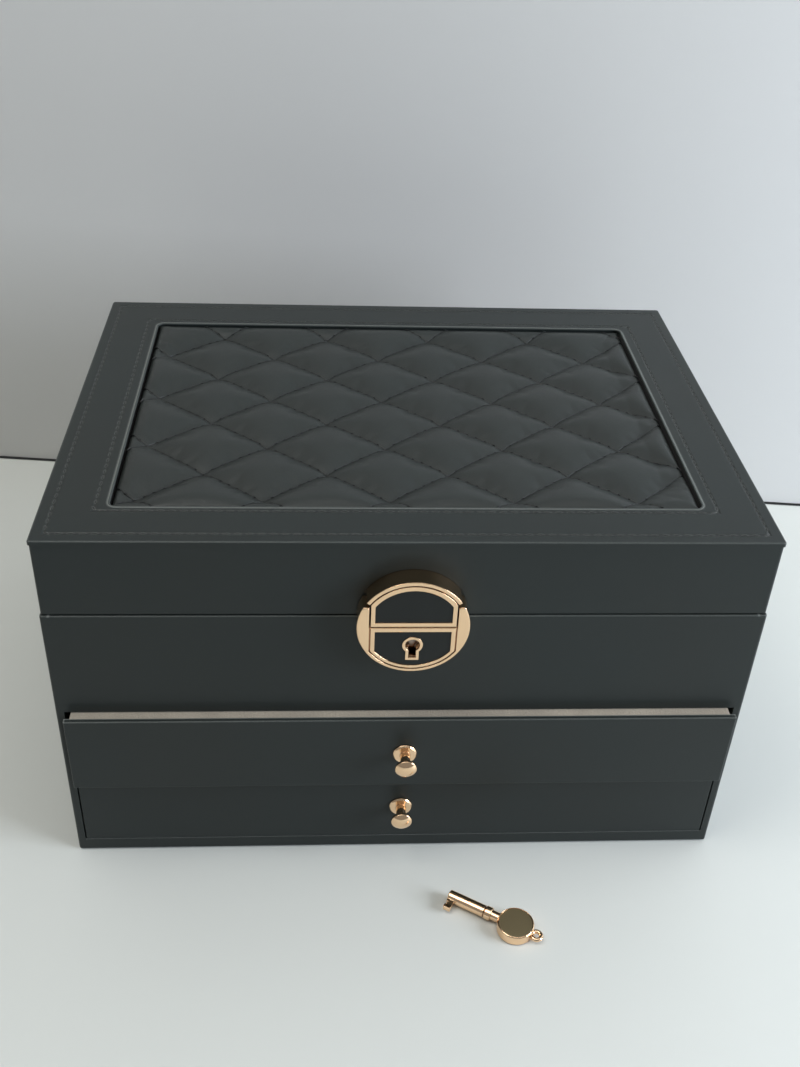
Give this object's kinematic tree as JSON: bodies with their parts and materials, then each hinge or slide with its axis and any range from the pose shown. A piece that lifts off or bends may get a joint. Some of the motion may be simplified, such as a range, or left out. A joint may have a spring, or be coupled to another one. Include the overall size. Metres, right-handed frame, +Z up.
{
  "type": "jewelry storage box",
  "caption": "Leather-wrapped jewelry box with a hinged quilted lid, a round front lock on the seam, a lined tray, drawers with turned knobs below it, and a small key beside it.",
  "frame": {"origin": "centre of the base on the surface it stands on", "axes": "+X to the right seen from the front, +Y to the back where the hinges are, +Z up"},
  "size_m": [0.26, 0.2482, 0.154],
  "materials": {
    "wrap": "satin smooth PU leather over board",
    "quilt": "soft quilted PU leather over foam",
    "board": "dark covered greyboard",
    "lining": "short velvet lining",
    "drawer_lining": "short velvet lining",
    "base_felt": "thin felt",
    "gold": "polished champagne gold plating on zinc alloy",
    "key_face": "polished bronze face",
    "inlay": "smooth black leather inlay",
    "steel": "plain steel",
    "mirror": "clear mirror"
  },
  "bodies": {
    "case": {"base_board": "wrap", "base_lining": "base_felt", "left_side_board": "wrap", "right_side_board": "wrap", "back_board": "wrap", "front_board": "wrap", "tray_shelf": "board", "drawer_shelf": "board", "tray_front_wall": "lining", "tray_back_wall": "lining", "tray_left_wall": "lining", "tray_right_wall": "lining", "tray_floor_pad": "lining", "tray_dividers": "lining", "ring_rolls": "lining", "lock_body": "gold", "lock_lower_inlay": "inlay", "keyhole_ring": "gold", "lock_back_plate": "steel", "lock_body_screws": "steel", "left_hinge_case_leaf": "gold", "right_hinge_case_leaf": "gold", "hinge_pins": "steel", "hinge_case_screws": "steel"},
    "lid": {"lid_front_board": "wrap", "lid_back_board": "wrap", "lid_left_board": "wrap", "lid_right_board": "wrap", "lid_top_frame": "wrap", "lid_spacer_frame": "board", "pad_board": "board", "quilted_pad": "quilt", "mirror": "mirror", "mirror_surround": "lining", "lid_lining": "lining", "lock_upper_plate": "gold", "lock_upper_inlay": "inlay", "lock_hook": "steel", "lock_plate_screws": "steel", "left_hinge_lid_leaf": "gold", "right_hinge_lid_leaf": "gold", "hinge_lid_screws": "steel"},
    "lock_rotor": {"lock_rotor": "steel"},
    "lock_bolt": {"lock_bolt": "steel"},
    "key": {"key": "gold", "key_face": "key_face"},
    "upper_drawer": {"upper_drawer_front_panel": "wrap", "upper_drawer_box_front": "drawer_lining", "upper_drawer_box_walls": "drawer_lining", "upper_drawer_box_floor": "drawer_lining", "upper_drawer_dividers": "drawer_lining", "upper_drawer_knob": "gold", "upper_drawer_knob_screw": "steel"},
    "lower_drawer": {"lower_drawer_front_panel": "wrap", "lower_drawer_box_front": "drawer_lining", "lower_drawer_box_walls": "drawer_lining", "lower_drawer_box_floor": "drawer_lining", "lower_drawer_dividers": "drawer_lining", "lower_drawer_knob": "gold", "lower_drawer_knob_screw": "steel"}
  },
  "joints": [
    {"name": "lid_hinge", "type": "hinge", "parent": "case", "child": "lid", "pos_m": [0, 0.09945, 0.122], "axis": [-1, 0, 0], "range_deg": [0, 100]},
    {"name": "upper_drawer_slide", "type": "slide", "parent": "case", "child": "upper_drawer", "axis": [0, -1, 0], "range_m": [-0.0054, 0.1346]},
    {"name": "lower_drawer_slide", "type": "slide", "parent": "case", "child": "lower_drawer", "axis": [0, -1, 0], "range_m": [0, 0.14]},
    {"name": "rotor_turn", "type": "hinge", "parent": "case", "child": "lock_rotor", "pos_m": [0.0006, -0.1, 0.11475], "axis": [0, -1, 0], "range_deg": [0, 90]},
    {"name": "bolt_slide", "type": "slide", "parent": "case", "child": "lock_bolt", "axis": [1, 0, 0], "range_m": [0, 0.00355]},
    {"name": "key_lift", "type": "slide", "parent": "case", "child": "key", "axis": [0, 0, 1], "range_m": [0, 0.08]}
  ],
  "couplings": [
    {"joint": "bolt_slide", "follows": "rotor_turn", "m_per_rad": 0.0022508}
  ]
}
